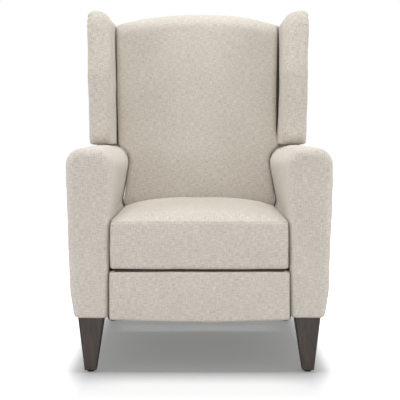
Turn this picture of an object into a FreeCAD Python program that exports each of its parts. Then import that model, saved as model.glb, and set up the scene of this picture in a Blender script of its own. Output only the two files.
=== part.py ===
import FreeCAD, Part
import math
import os

os.makedirs("parts", exist_ok=True)

V = FreeCAD.Vector

# Driving sizes in millimetres. X runs across, the front faces -Y, Z is up.
OVERALL_WIDTH = 760.0
OVERALL_DEPTH = 870.0
FRONT_Y = -OVERALL_DEPTH / 2
ARM_WIDTH = 123.0
ARM_INNER_X = OVERALL_WIDTH / 2 - ARM_WIDTH
ARM_LEAN = 15.0
ARM_TAPER = 24.0
ARM_TOP_Z = 632.0
ARM_BOTTOM_Z = 153.0
PLY = 15.0
BOARD = 18.0
SOFT_GAP = 3.0
SEAT_HALF = ARM_INNER_X - SOFT_GAP - 0.5
SEAT_BOTTOM_Z = 288.0
SEAT_EDGE_Z = 424.0
SEAT_CROWN = 27.0
BACK_SLOPE = 0.2267
BACK_TOTAL = 325.0
BACK_Y0 = OVERALL_DEPTH / 2 - BACK_TOTAL
SEAT_REAR_Y = BACK_Y0 - 15.0
ARM_REAR_Y = BACK_Y0 + 108.0
BACK_Z0 = 440.0
CUSHION_DEPTH = 112.0
POST_DEPTH = 121.0
POST_THICK = 32.0
OUTSIDE_DEPTH = 154.0
OUTSIDE_THICK = 35.0
BACK_LOW_HALF = ARM_INNER_X - 19.0
WING_THICK = 95.0
WING_INNER_X = OVERALL_WIDTH / 2 - WING_THICK
BACK_TOP_HALF = WING_INNER_X - SOFT_GAP
WING_BOTTOM_Z = ARM_TOP_Z + 5.0
WING_TOP_Z = 1099.0
LEG_TOP = 72.0
LEG_FOOT = 33.0
LEG_X = ARM_INNER_X + 51.0
GLIDE_HEIGHT = 6.0
STEEL = 3.0
LAYER = 6.5
LINK_HALF = 11.0
RIVET_R = 4.0
HEAD_R = 8.0
HEAD_T = 1.6
GLIDE_ANGLE = math.radians(12.0)
GLIDE_TRAVEL = 46.0
SHOE_R = 6.0
SHOE_HALF = 7.0
SLOT_PLAY = 0.4
WIRE_R = 1.8

# Pivot points of the footrest linkage in the folded pose, as (distance behind the front, height).
PIVOT_A = (110.0, 248.0)
PIVOT_B = (85.0, 268.0)
PIVOT_P = (291.26, 163.48)
PIVOT_Q = (59.44, 225.60)
PIVOT_S = (263.78, 182.96)
PIVOT_R = (276.75, 204.33)
PIVOT_W = (103.53, 249.19)
SLOT_S = 2.4
SLOT_W = 3.2
RECLINE_PIVOT = (BACK_Y0 + 55.0, 320.0)

# Outer faces of the steel layers, from the base plate inwards.
BASE_X = ARM_INNER_X - STEEL
PLATE_X = BASE_X - 5.0 - STEEL
LIFT_X = PLATE_X - LAYER
EXTENSION_X = LIFT_X - LAYER
CONTROL_X = EXTENSION_X - LAYER
PANEL_X = CONTROL_X - LAYER
BRACKET_X = PANEL_X - LAYER


def save(name, shape):
    shape.exportStep("parts/" + name + ".step")


def mirrored(shape):
    return shape.mirror(V(0, 0, 0), V(1, 0, 0))


def save_pair(name, shape):
    save(name + "_r", shape)
    save(name + "_l", mirrored(shape))


def both(shape):
    return Part.makeCompound([shape, mirrored(shape)])


def box(x0, x1, y0, y1, z0, z1):
    return Part.makeBox(x1 - x0, y1 - y0, z1 - z0, V(x0, y0, z0))


def rod_x(x0, x1, y, z, radius):
    return Part.makeCylinder(radius, x1 - x0, V(x0, y, z), V(1, 0, 0))


def rod_z(x, y, z0, z1, radius):
    return Part.makeCylinder(radius, z1 - z0, V(x, y, z0), V(0, 0, 1))


def slab(x0, x1, points):
    corners = [V(x0, y, z) for y, z in points]
    face = Part.Face(Part.makePolygon(corners + corners[:1]))
    return face.extrude(V(x1 - x0, 0, 0))


def bar(x0, x1, start, end, half):
    dy = end[0] - start[0]
    dz = end[1] - start[1]
    length = math.hypot(dy, dz)
    ny = -dz / length * half
    nz = dy / length * half
    middle = slab(x0, x1, [
        (start[0] + ny, start[1] + nz), (end[0] + ny, end[1] + nz),
        (end[0] - ny, end[1] - nz), (start[0] - ny, start[1] - nz)])
    ends = [rod_x(x0, x1, start[0], start[1], half), rod_x(x0, x1, end[0], end[1], half)]
    return middle.multiFuse(ends).removeSplitter()


def at(pivot):
    return (FRONT_Y + pivot[0], pivot[1])


def rounded_wire(points, place):
    """Closed wire through corners (a, b, radius, bulge); bulge bows the side that follows."""
    count = len(points)
    tangents = []
    for i in range(count):
        before = points[i - 1]
        here = points[i]
        after = points[(i + 1) % count]
        into = V(here[0] - before[0], here[1] - before[1], 0)
        out = V(after[0] - here[0], after[1] - here[1], 0)
        into.normalize()
        out.normalize()
        corner = V(here[0], here[1], 0)
        if here[2] <= 0:
            tangents.append((corner, None, corner))
            continue
        turn = into.getAngle(out)
        reach = here[2] * math.tan(turn / 2)
        bisector = out - into
        bisector.normalize()
        centre = corner + bisector * (here[2] / math.cos(turn / 2))
        middle = centre - bisector * here[2]
        tangents.append((corner - into * reach, middle, corner + out * reach))
    edges = []
    for i in range(count):
        start, middle, end = tangents[i]
        if middle is not None:
            edges.append(Part.Arc(place(start), place(middle), place(end)).toShape())
        following = tangents[(i + 1) % count][0]
        bulge = points[i][3]
        if abs(bulge) > 0:
            run = following - end
            side = V(run.y, -run.x, 0)
            side.normalize()
            top = (end + following) * 0.5 + side * bulge
            edges.append(Part.Arc(place(end), place(top), place(following)).toShape())
        else:
            edges.append(Part.makeLine(place(end), place(following)))
    return Part.Wire(edges)


def soft_across(sections):
    """Soft body lofted across X from (x, corners) sections."""
    wires = []
    for x, points in sections:
        wires.append(rounded_wire(points, lambda p, x=x: V(x, p.x, p.y)))
    return Part.makeLoft(wires, True, True)


def back_y(z, depth):
    return BACK_Y0 + (z - BACK_Z0) * BACK_SLOPE + depth


def back_slab(x0, x1, z0, z1, depth, thick):
    return slab(x0, x1, [
        (back_y(z0, depth), z0), (back_y(z0, depth + thick), z0),
        (back_y(z1, depth + thick), z1), (back_y(z1, depth), z1)])


# Arm: a timber box open to the inside, wrapped by a soft cover with rounded ends.
FRAME_FRONT_Y = FRONT_Y + 35.0
FRAME_REAR_Y = ARM_REAR_Y - 23.0
FRAME_OUTER_X = LEG_X + LEG_TOP / 2
FRAME_TOP_Z = ARM_TOP_Z - 32.0
PANEL_TOP_Z = 415.0

arm_frame = box(ARM_INNER_X, ARM_INNER_X + PLY, FRAME_FRONT_Y, FRAME_REAR_Y, ARM_BOTTOM_Z, PANEL_TOP_Z)
bottom_board = box(ARM_INNER_X + PLY, FRAME_OUTER_X, FRAME_FRONT_Y, FRAME_REAR_Y,
                   ARM_BOTTOM_Z, ARM_BOTTOM_Z + BOARD)
front_board = box(ARM_INNER_X + PLY, FRAME_OUTER_X, FRAME_FRONT_Y, FRAME_FRONT_Y + BOARD,
                  ARM_BOTTOM_Z, FRAME_TOP_Z)
rear_board = box(ARM_INNER_X + PLY, FRAME_OUTER_X, FRAME_REAR_Y - BOARD, FRAME_REAR_Y,
                 ARM_BOTTOM_Z, FRAME_TOP_Z)
top_board = box(ARM_INNER_X + PLY, FRAME_OUTER_X, FRAME_FRONT_Y, FRAME_REAR_Y,
                FRAME_TOP_Z - PLY, FRAME_TOP_Z)
arm_frame = arm_frame.multiFuse([bottom_board, front_board, rear_board, top_board]).removeSplitter()

ARM_MID_X = ARM_INNER_X + 59.0
ARM_MID_Z = (ARM_BOTTOM_Z + ARM_TOP_Z) / 2


def arm_section(y, inset):
    corners = [
        (ARM_INNER_X + 3.0, ARM_BOTTOM_Z, 6.0), (ARM_INNER_X, ARM_BOTTOM_Z + 282.0, 60.0),
        (ARM_INNER_X - ARM_LEAN, ARM_TOP_Z, 42.0), (OVERALL_WIDTH / 2 + 1.0, ARM_TOP_Z, 42.0),
        (OVERALL_WIDTH / 2 - 1.5, ARM_TOP_Z - 85.0, 200.0),
        (OVERALL_WIDTH / 2 - ARM_TAPER * 0.5, ARM_BOTTOM_Z + 72.0, 110.0),
        (OVERALL_WIDTH / 2 - ARM_TAPER, ARM_BOTTOM_Z, 14.0)]
    scale_x = 1.0 - inset / (ARM_WIDTH / 2 + 4.5)
    scale_z = 1.0 - inset / (ARM_TOP_Z - ARM_MID_Z)
    points = []
    for x, z, radius in corners:
        points.append((ARM_MID_X + (x - ARM_MID_X) * scale_x,
                       ARM_MID_Z + (z - ARM_MID_Z) * scale_z, radius * scale_x, 0.0))
    return rounded_wire(points, lambda p: V(p.x, y, p.y))


arm_rims = [
    (FRONT_Y, 26.0), (FRONT_Y + 2.5, 15.0), (FRONT_Y + 8.0, 6.5), (FRONT_Y + 16.0, 2.0),
    (FRONT_Y + 27.0, 0.0), (ARM_REAR_Y - 38.0, 0.0), (ARM_REAR_Y - 22.0, 2.5),
    (ARM_REAR_Y - 10.0, 9.0), (ARM_REAR_Y - 2.5, 18.0), (ARM_REAR_Y, 28.0)]
arm_cover = Part.makeLoft([arm_section(y, inset) for y, inset in arm_rims], True, True)
pocket_low = box(ARM_INNER_X - 20.0, ARM_INNER_X + PLY, FRAME_FRONT_Y, FRAME_REAR_Y,
                 ARM_BOTTOM_Z - 5.0, PANEL_TOP_Z)
pocket_high = box(ARM_INNER_X + PLY, FRAME_OUTER_X, FRAME_FRONT_Y, FRAME_REAR_Y,
                  ARM_BOTTOM_Z - 5.0, FRAME_TOP_Z)
arm_cover = arm_cover.cut(pocket_low).cut(pocket_high)

TIE_Y = FRONT_Y + 355.0
TIE_Z = 196.0

# Rails between the arms: a timber rail at the rear, a round tube under the seat.
rear_rail = box(-ARM_INNER_X, ARM_INNER_X, FRAME_REAR_Y - 22.0, FRAME_REAR_Y,
                ARM_BOTTOM_Z + 6.0, ARM_BOTTOM_Z + 71.0)
front_tube = rod_x(-ARM_INNER_X, ARM_INNER_X, TIE_Y, TIE_Z, 12.5)
front_tube = front_tube.cut(rod_x(-ARM_INNER_X, ARM_INNER_X, TIE_Y, TIE_Z, 10.5))

# Base plates with two inclined slots each, and the glide shoes of the seat in them.
SHOES = [(FRONT_Y + 245.0, 262.0), (SEAT_REAR_Y - 5.0, 262.0)]
BASE_BOLTS = [(FRONT_Y + 195.0, 215.0), (SEAT_REAR_Y - 155.0, 238.0), (ARM_REAR_Y - 83.0, 215.0)]
slide_y = -GLIDE_TRAVEL * math.cos(GLIDE_ANGLE)
slide_z = GLIDE_TRAVEL * math.sin(GLIDE_ANGLE)
shoe_y = SHOE_HALF * math.cos(GLIDE_ANGLE)
shoe_z = SHOE_HALF * math.sin(GLIDE_ANGLE)
base_plate = box(BASE_X, ARM_INNER_X, FRONT_Y + 173.0, ARM_REAR_Y - 68.0, 198.0, SEAT_BOTTOM_Z - 3.0)
base_plate = base_plate.cut(rod_x(BASE_X, ARM_INNER_X, TIE_Y, TIE_Z, 12.5))
shoes = []
for y, z in SHOES:
    rear = (y + shoe_y, z - shoe_z)
    front = (y - shoe_y, z + shoe_z)
    shoes.append(bar(PLATE_X + STEEL, ARM_INNER_X - 0.4, front, rear, SHOE_R))
    slot_end = (front[0] + slide_y - 0.6, front[1] + slide_z)
    slot_start = (rear[0] + 0.6, rear[1])
    base_plate = base_plate.cut(bar(BASE_X, ARM_INNER_X, slot_end, slot_start, SHOE_R + SLOT_PLAY))
glide_shoes = Part.makeCompound(shoes + [mirrored(shoe) for shoe in shoes])
bolts = []
for y, z in BASE_BOLTS:
    base_plate = base_plate.cut(rod_x(BASE_X, ARM_INNER_X, y, z, RIVET_R))
    arm_frame = arm_frame.cut(rod_x(ARM_INNER_X, ARM_INNER_X + PLY, y, z, RIVET_R))
    bolt = rod_x(BASE_X, ARM_INNER_X + PLY + 7.0, y, z, RIVET_R)
    head = rod_x(BASE_X - 3.2, BASE_X, y, z, HEAD_R)
    nut = rod_x(ARM_INNER_X + PLY, ARM_INNER_X + PLY + 5.0, y, z, HEAD_R)
    bolts.append(bolt.multiFuse([head, nut]))
base_plate_bolts = Part.makeCompound(bolts + [mirrored(bolt) for bolt in bolts])

# Square tapered legs with round glides; the rear pair rakes backwards.
LEG_SPOTS = [("front_leg", FRONT_Y + 45.0, FRONT_Y + 21.0),
             ("rear_leg", ARM_REAR_Y - 60.0, ARM_REAR_Y + 22.0)]
leg_bolts = []
leg_glides = []
for name, top_y, foot_y in LEG_SPOTS:
    levels = []
    for z, y, side, radius in ((GLIDE_HEIGHT, foot_y, LEG_FOOT, 3.0), (ARM_BOTTOM_Z, top_y, LEG_TOP, 4.0)):
        h = side / 2
        corners = [(LEG_X - h, y - h, radius, 0.0), (LEG_X + h, y - h, radius, 0.0),
                   (LEG_X + h, y + h, radius, 0.0), (LEG_X - h, y + h, radius, 0.0)]
        levels.append(rounded_wire(corners, lambda p, z=z: V(p.x, p.y, z)))
    leg = Part.makeLoft(levels, True, True)
    thread = rod_z(LEG_X, top_y, ARM_BOTTOM_Z - 32.0, ARM_BOTTOM_Z + BOARD + 9.0, RIVET_R)
    nut = rod_z(LEG_X, top_y, ARM_BOTTOM_Z + BOARD, ARM_BOTTOM_Z + BOARD + 6.0, HEAD_R)
    leg = leg.cut(thread)
    arm_frame = arm_frame.cut(thread).cut(nut)
    leg_bolts.append(thread.fuse(nut))
    leg_glides.append(Part.makeCone(10.0, 11.5, GLIDE_HEIGHT, V(LEG_X, foot_y, 0), V(0, 0, 1)))
    save_pair(name, leg)
save("leg_bolts", Part.makeCompound(leg_bolts + [mirrored(b) for b in leg_bolts]))
save("leg_glides", Part.makeCompound(leg_glides + [mirrored(g) for g in leg_glides]))
save_pair("arm_frame", arm_frame)
save_pair("arm_upholstery", arm_cover)
save("rear_rail", rear_rail)
save("front_tube", front_tube)
save_pair("base_plate", base_plate)
save("base_plate_bolts", base_plate_bolts)
save("glide_shoes", glide_shoes)

# Seat: steel side plates, a cross tube, timber rails, zigzag springs, a deck and the boxed cushion.
RING_Z0 = SEAT_BOTTOM_Z - 30.0
RING_Z1 = SEAT_BOTTOM_Z - 8.0
RING_HALF = ARM_INNER_X - 53.0
RING_FRONT_Y = FRONT_Y + 57.0
TUBE_Y = FRONT_Y + 145.0
RING_REAR_Y = SEAT_REAR_Y - 35.0
PLATE_FRONT_Y = FRONT_Y + 63.0
TUBE_Z = SEAT_BOTTOM_Z - 19.0
pivot_y, pivot_z = RECLINE_PIVOT
seat_plate = slab(PLATE_X, PLATE_X + STEEL, [
    (PLATE_FRONT_Y, 236.0), (pivot_y + 21.0, 236.0), (pivot_y + 31.0, 250.0),
    (pivot_y + 31.0, pivot_z - 20.0),
    (pivot_y + 25.0, pivot_z + 25.0), (pivot_y - 25.0, pivot_z + 25.0), (pivot_y - 40.0, RING_Z1 + 2.0),
    (PLATE_FRONT_Y, RING_Z1 + 2.0)])
for y, z in (at(PIVOT_A), at(PIVOT_B)):
    seat_plate = seat_plate.cut(rod_x(PLATE_X, PLATE_X + STEEL, y, z, RIVET_R))
seat_plate = seat_plate.cut(rod_x(PLATE_X, PLATE_X + STEEL, RECLINE_PIVOT[0], RECLINE_PIVOT[1], 5.0))
seat_plate = seat_plate.cut(rod_x(PLATE_X, PLATE_X + STEEL, TUBE_Y, TUBE_Z, 10.0))
seat_tube = rod_x(-PLATE_X - STEEL, PLATE_X + STEEL, TUBE_Y, TUBE_Z, 10.0)
seat_tube = seat_tube.cut(rod_x(-PLATE_X - STEEL, PLATE_X + STEEL, TUBE_Y, TUBE_Z, 8.0))
front_rail = box(-RING_HALF, RING_HALF, RING_FRONT_Y, RING_FRONT_Y + 24.0, RING_Z0, RING_Z1)
rear_seat_rail = box(-PLATE_X, PLATE_X, RING_REAR_Y, RING_REAR_Y + 24.0, RING_Z0, RING_Z1)
side_rail = box(RING_HALF - 24.0, RING_HALF, RING_FRONT_Y + 24.0, RING_REAR_Y, RING_Z0, RING_Z1)
side_rail = side_rail.cut(rod_x(0.0, RING_HALF, TUBE_Y, TUBE_Z, 10.0))
screws = []
for z in (RING_Z0 + 6.0, RING_Z1 - 6.0):
    head = rod_x(PLATE_X + STEEL, PLATE_X + STEEL + HEAD_T, RING_REAR_Y + 12.0, z, 4.5)
    shank = rod_x(PLATE_X - 22.0, PLATE_X + STEEL, RING_REAR_Y + 12.0, z, 2.0)
    seat_plate = seat_plate.cut(shank)
    rear_seat_rail = rear_seat_rail.cut(shank).cut(mirrored(shank))
    screws.append(head.fuse(shank))
save("seat_plate_screws", Part.makeCompound(screws + [mirrored(s) for s in screws]))
save_pair("seat_plate", seat_plate)
save("seat_cross_tube", seat_tube)
save("seat_front_rail", front_rail)
save("seat_rear_rail", rear_seat_rail)
save_pair("seat_side_rail", side_rail)


def zigzag(start, along, across, turns, pitch, swing, radius):
    """Zigzag spring wire: straight cross runs joined by straight links, swept as round bars."""
    points = [start]
    here = start
    for i in range(turns):
        side = across * (swing if i % 2 == 0 else -swing)
        points.append(start + along * (pitch * (i + 0.35)) + side)
        points.append(start + along * (pitch * (i + 0.65)) + side)
    points.append(start + along * (pitch * turns))
    path = Part.makePolygon(points)
    first = points[1] - points[0]
    first.normalize()
    ring_wire = Part.Wire(Part.makeCircle(radius, points[0], first))
    pipe = path.makePipeShell([ring_wire], True, False, 1)
    return pipe


springs = []
spring_z = RING_Z1 + WIRE_R
seat_pitch = (RING_REAR_Y + 12.0 - RING_FRONT_Y - 10.0) / 11
for i in range(-2, 3):
    start = V(i * (RING_HALF - 60.0) / 2, RING_FRONT_Y + 10.0, spring_z)
    springs.append(zigzag(start, V(0, 1, 0), V(1, 0, 0), 11, seat_pitch, 20.0, WIRE_R))
save("seat_springs", Part.makeCompound(springs))
deck = box(-PLATE_X + 6.0, PLATE_X - 6.0, FRONT_Y + 10.0, RING_REAR_Y + 24.0,
           RING_Z1 + 2 * WIRE_R, SEAT_BOTTOM_Z)
save("seat_deck", deck)


def seat_section(x):
    across = abs(x) / SEAT_HALF
    edge = max(0.0, across - 0.93) / 0.07
    inset = 12.0 * edge * edge
    crown = SEAT_CROWN * (1.0 - across ** 2.4)
    return [
        (FRONT_Y + 9.0 + inset, SEAT_BOTTOM_Z + inset * 0.4, 20.0, 0.0),
        (SEAT_REAR_Y - inset, SEAT_BOTTOM_Z + inset * 0.4, 14.0, 0.0),
        (SEAT_REAR_Y - inset, SEAT_EDGE_Z + crown * 0.9, 26.0, 2.0 + crown * 0.3),
        (FRONT_Y + 9.0 + inset, SEAT_EDGE_Z + 2.0 - inset * 0.5, 24.0, 8.5)]


seat_half_stations = [0.0, 0.2, 0.4, 0.56, 0.7, 0.82, 0.9, 0.945, 0.97, 0.988, 1.0]
seat_stations = [-s for s in reversed(seat_half_stations[1:])] + seat_half_stations
seat_cushion = soft_across([(s * SEAT_HALF, seat_section(s * SEAT_HALF)) for s in seat_stations])
seat_cushion = seat_cushion.common(box(-SEAT_HALF, SEAT_HALF, FRONT_Y, SEAT_REAR_Y, SEAT_BOTTOM_Z,
                                        SEAT_EDGE_Z + 2.5 * SEAT_CROWN))
save("seat_cushion", seat_cushion)

# Footrest linkage, one set per side, in flat steel layers.
A, B, P, Q = at(PIVOT_A), at(PIVOT_B), at(PIVOT_P), at(PIVOT_Q)
S, R, W = at(PIVOT_S), at(PIVOT_R), at(PIVOT_W)


def drill(plate, x0, spots, radius):
    for y, z in spots:
        plate = plate.cut(rod_x(x0, x0 + STEEL, y, z, radius))
    return plate


def rivet(outer, inner, spot, spacer=None, head=HEAD_R):
    """Rivet from an outer head to an inner head, with an optional spacer between two layers."""
    y, z = spot
    pieces = [rod_x(outer, outer + HEAD_T, y, z, head), rod_x(inner - HEAD_T, inner, y, z, head)]
    if spacer is not None:
        pieces.append(rod_x(spacer[0], spacer[1], y, z, 6.5))
    return rod_x(inner, outer, y, z, RIVET_R - 0.05).multiFuse(pieces)


lift_link = drill(bar(LIFT_X, LIFT_X + STEEL, A, P, LINK_HALF), LIFT_X, [A, P], RIVET_R)
extension_link = bar(EXTENSION_X, EXTENSION_X + STEEL, P, Q, LINK_HALF)
extension_link = extension_link.fuse(bar(EXTENSION_X, EXTENSION_X + STEEL, P, S, LINK_HALF)).removeSplitter()
extension_link = drill(extension_link, EXTENSION_X, [P, Q, S], RIVET_R)
control_link = bar(CONTROL_X, CONTROL_X + STEEL, B, S, LINK_HALF)
control_link = control_link.fuse(bar(CONTROL_X, CONTROL_X + STEEL, S, R, LINK_HALF)).removeSplitter()
control_link = drill(control_link, CONTROL_X, [B, R], RIVET_R)
control_link = drill(control_link, CONTROL_X, [S], RIVET_R + SLOT_S)
panel_link = drill(bar(PANEL_X, PANEL_X + STEEL, R, W, LINK_HALF - 1.0), PANEL_X, [R, W], RIVET_R)
save_pair("lift_link", lift_link)
save_pair("extension_link", extension_link)
save_pair("control_link", control_link)
save_pair("panel_link", panel_link)
save("seat_rivets", both(Part.makeCompound([
    rivet(PLATE_X + STEEL, LIFT_X, A, (LIFT_X + STEEL, PLATE_X)),
    rivet(PLATE_X + STEEL, CONTROL_X, B, (CONTROL_X + STEEL, PLATE_X))])))
save("lift_rivets", both(rivet(LIFT_X + STEEL, EXTENSION_X, P, (EXTENSION_X + STEEL, LIFT_X))))
save("extension_rivets", both(Part.makeCompound([
    rivet(EXTENSION_X + STEEL, CONTROL_X, S, (CONTROL_X + STEEL, EXTENSION_X)),
    rivet(EXTENSION_X + STEEL, BRACKET_X, Q, (BRACKET_X + STEEL, EXTENSION_X), HEAD_R - 1.2)])))
save("control_rivets", both(rivet(CONTROL_X + STEEL, PANEL_X, R, (PANEL_X + STEEL, CONTROL_X))))
save("panel_rivets", both(rivet(PANEL_X + STEEL, BRACKET_X, W, (BRACKET_X + STEEL, PANEL_X), HEAD_R + 2.0)))

# Footrest: brackets, board and the padded panel.
PAD_REAR_Y = FRONT_Y + 47.0
BOARD_REAR_Y = FRONT_Y + 52.0
BOARD_FRONT_Y = BOARD_REAR_Y - 12.0
BOARD_HALF = ARM_INNER_X - 35.0
PAD_HALF = SEAT_HALF + 2.0
PAD_Z0 = 142.0
PAD_Z1 = SEAT_BOTTOM_Z - 7.4
bracket = bar(BRACKET_X, BRACKET_X + STEEL, W, Q, 12.0)
bracket = bracket.fuse(slab(BRACKET_X, BRACKET_X + STEEL, [
    (W[0] - 8.5, 256.0), (W[0] - 8.5, 232.0), (Q[0] + 5.5, 205.0),
    (BOARD_REAR_Y, 205.0), (BOARD_REAR_Y, 256.0)]))
flange = box(BRACKET_X - 24.0, BRACKET_X + STEEL, BOARD_REAR_Y, BOARD_REAR_Y + STEEL, 205.0, 256.0)
bracket = bracket.fuse(flange)
bracket = bracket.cut(box(0.0, PAD_HALF, FRONT_Y, BOARD_REAR_Y, PAD_Z0, PAD_Z1)).removeSplitter()
bracket = bracket.cut(rod_x(BRACKET_X - 5.0, BRACKET_X + STEEL, Q[0], Q[1], RIVET_R))
bracket = bracket.cut(rod_x(BRACKET_X - 5.0, BRACKET_X + STEEL, W[0], W[1], RIVET_R + SLOT_W))
bracket = bracket.cut(rod_x(BRACKET_X - 5.0, BRACKET_X, Q[0], Q[1], HEAD_R - 0.5))
board = box(-BOARD_HALF, BOARD_HALF, BOARD_FRONT_Y, BOARD_REAR_Y, PAD_Z0 + 9.0, PAD_Z1 - 5.0)
footrest_screws = []
for z in (215.0, 246.0):
    y0 = BOARD_FRONT_Y + 2.0
    shank = Part.makeCylinder(2.0, BOARD_REAR_Y + STEEL - y0, V(BRACKET_X - 14.0, y0, z), V(0, 1, 0))
    head = Part.makeCylinder(4.5, HEAD_T, V(BRACKET_X - 14.0, BOARD_REAR_Y + STEEL, z), V(0, 1, 0))
    bracket = bracket.cut(shank)
    board = board.cut(shank).cut(mirrored(shank))
    footrest_screws.append(shank.fuse(head))
save_pair("footrest_bracket", bracket)
save("footrest_board", board)
save("footrest_screws", both(Part.makeCompound(footrest_screws)))


def pad_section(x):
    across = abs(x) / PAD_HALF
    edge = max(0.0, across - 0.95) / 0.05
    inset = 9.0 * edge * edge
    return [
        (FRONT_Y + 5.0 + inset, PAD_Z0 + 5.0 * across * across + inset * 0.3, 10.0, 0.0),
        (PAD_REAR_Y, PAD_Z0 + 5.0 * across * across + inset * 0.3, 4.0, 0.0),
        (PAD_REAR_Y, PAD_Z1 - inset * 0.5, 4.0, 0.0),
        (FRONT_Y + 5.0 + inset, PAD_Z1 - inset * 0.5, 13.0, 4.5 * (1.0 - across ** 6))]


pad_half_stations = [0.0, 0.35, 0.6, 0.8, 0.92, 0.955, 0.975, 0.99, 1.0]
pad_stations = [-s for s in reversed(pad_half_stations[1:])] + pad_half_stations
pad = soft_across([(s * PAD_HALF, pad_section(s * PAD_HALF)) for s in pad_stations])
pad = pad.common(box(-PAD_HALF, PAD_HALF, FRONT_Y, PAD_REAR_Y, PAD_Z0, PAD_Z1))
pad = pad.cut(box(-BOARD_HALF, BOARD_HALF, BOARD_FRONT_Y, PAD_REAR_Y, PAD_Z0 + 9.0, PAD_Z1 - 5.0))
save("footrest_pad", pad)

# Back: posts and rails, pivot brackets, wing frames, springs, the T cushion, wings and outside back.
POST_OUT = BACK_LOW_HALF - 2.0
POST_IN = POST_OUT - 27.0
POST_Z0 = 300.0
POST_Z1 = WING_TOP_Z - 67.0
WING_RAIL_Z = WING_BOTTOM_Z + 26.0
RAIL = 40.0
LOW_Z0 = RECLINE_PIVOT[1] + 25.0
post = back_slab(POST_IN, POST_OUT, POST_Z0, POST_Z1, POST_DEPTH, POST_THICK)
back_bracket = rod_x(POST_OUT, POST_OUT + STEEL, RECLINE_PIVOT[0], RECLINE_PIVOT[1], 17.0)
back_bracket = back_bracket.fuse(slab(POST_OUT, POST_OUT + STEEL, [
    (pivot_y - 5.0, pivot_z - 16.0), (pivot_y + 60.0, pivot_z - 18.0), (pivot_y + 91.0, pivot_z + 104.0),
    (pivot_y + 65.0, pivot_z + 104.0), (pivot_y + 11.0, pivot_z + 13.0), (pivot_y - 5.0, pivot_z + 10.0)]))
back_bracket = back_bracket.removeSplitter()
back_bracket = back_bracket.cut(rod_x(POST_OUT, POST_OUT + STEEL, RECLINE_PIVOT[0], RECLINE_PIVOT[1], 5.0))
bracket_screws = []
for dy, dz in ((54.0, 2.0), (63.0, 42.0), (75.0, 90.0)):
    y = pivot_y + dy
    z = pivot_z + dz
    shank = rod_x(POST_OUT - 18.0, POST_OUT + STEEL, y, z, 2.5)
    head = rod_x(POST_OUT + STEEL, POST_OUT + STEEL + HEAD_T, y, z, 5.0)
    back_bracket = back_bracket.cut(shank)
    post = post.cut(shank)
    bracket_screws.append(shank.fuse(head))
pivot = rod_x(POST_OUT, PLATE_X + STEEL, RECLINE_PIVOT[0], RECLINE_PIVOT[1], 4.95)
pivot = pivot.multiFuse([
    rod_x(PLATE_X + STEEL, PLATE_X + STEEL + 3.0, RECLINE_PIVOT[0], RECLINE_PIVOT[1], 9.0),
    rod_x(POST_OUT - 4.0, POST_OUT, RECLINE_PIVOT[0], RECLINE_PIVOT[1], 9.0),
    rod_x(POST_OUT + STEEL, PLATE_X, RECLINE_PIVOT[0], RECLINE_PIVOT[1], 8.0)])
save("back_pivot_bolts", both(pivot))
save("back_bracket_screws", both(Part.makeCompound(bracket_screws)))
save_pair("back_bracket", back_bracket)
save_pair("back_post", post)
rails = [back_slab(-POST_IN, POST_IN, z0, z1, POST_DEPTH, POST_THICK)
         for z0, z1 in ((BACK_Z0, BACK_Z0 + RAIL), (POST_Z1 - RAIL, POST_Z1))]
for name, rail in zip(("back_bottom_rail", "back_top_rail"), rails):
    save(name, rail)
wires = []
spring_run = (POST_Z1 - BACK_Z0 - 16.0) * math.hypot(1.0, BACK_SLOPE) * 0.991
for i in (-1.5, -0.5, 0.5, 1.5):
    start = V(i * (POST_IN - 9.0) / 2, back_y(BACK_Z0 + 8.0, POST_DEPTH - WIRE_R - 0.2), BACK_Z0 + 8.0)
    along = V(0, BACK_SLOPE, 1)
    along.normalize()
    wires.append(zigzag(start, along, V(1, 0, 0), 14, spring_run / 14, 24.0, WIRE_R))
save("back_springs", Part.makeCompound(wires))


LOW_Z1 = ARM_TOP_Z + 68.0
TOP_Z0 = ARM_TOP_Z + 10.0


def low_section(x):
    across = abs(x) / BACK_LOW_HALF
    edge = max(0.0, across - 0.93) / 0.07
    inset = 12.0 * edge * edge
    crown = 7.0 * (1.0 - across ** 3)
    return [
        (BACK_Y0 - 6.0 + inset, LOW_Z0, 14.0, 0.0), (back_y(LOW_Z0, OUTSIDE_DEPTH - 0.5), LOW_Z0, 6.0, 0.0),
        (back_y(LOW_Z1, OUTSIDE_DEPTH - 0.5), LOW_Z1, 0.0, 0.0), (back_y(LOW_Z1, inset), LOW_Z1, 0.0, crown),
        (back_y(BACK_Z0 + 6.0, inset), BACK_Z0 + 6.0, 60.0, 0.0)]


def top_height(x):
    return WING_TOP_Z + 1.0 - 32.0 * (abs(x) / BACK_TOP_HALF) ** 2


def top_section(x):
    across = abs(x) / BACK_TOP_HALF
    edge = max(0.0, across - 0.9) / 0.1
    inset = 22.0 * edge * edge
    crown = 9.0 * (1.0 - across ** 3)
    peak = top_height(x) - inset * 0.4
    return [
        (back_y(TOP_Z0, inset), TOP_Z0, 16.0, 0.0), (back_y(TOP_Z0, CUSHION_DEPTH), TOP_Z0, 0.0, 0.0),
        (back_y(POST_Z1 + 3.0, CUSHION_DEPTH), POST_Z1 + 3.0, 0.0, 0.0),
        (back_y(POST_Z1 + 3.0, OUTSIDE_DEPTH - 1.0), POST_Z1 + 3.0, 0.0, 0.0),
        (back_y(peak, OUTSIDE_DEPTH - 1.0), peak, 34.0, 0.0), (back_y(peak, inset), peak, 52.0, crown)]


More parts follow.
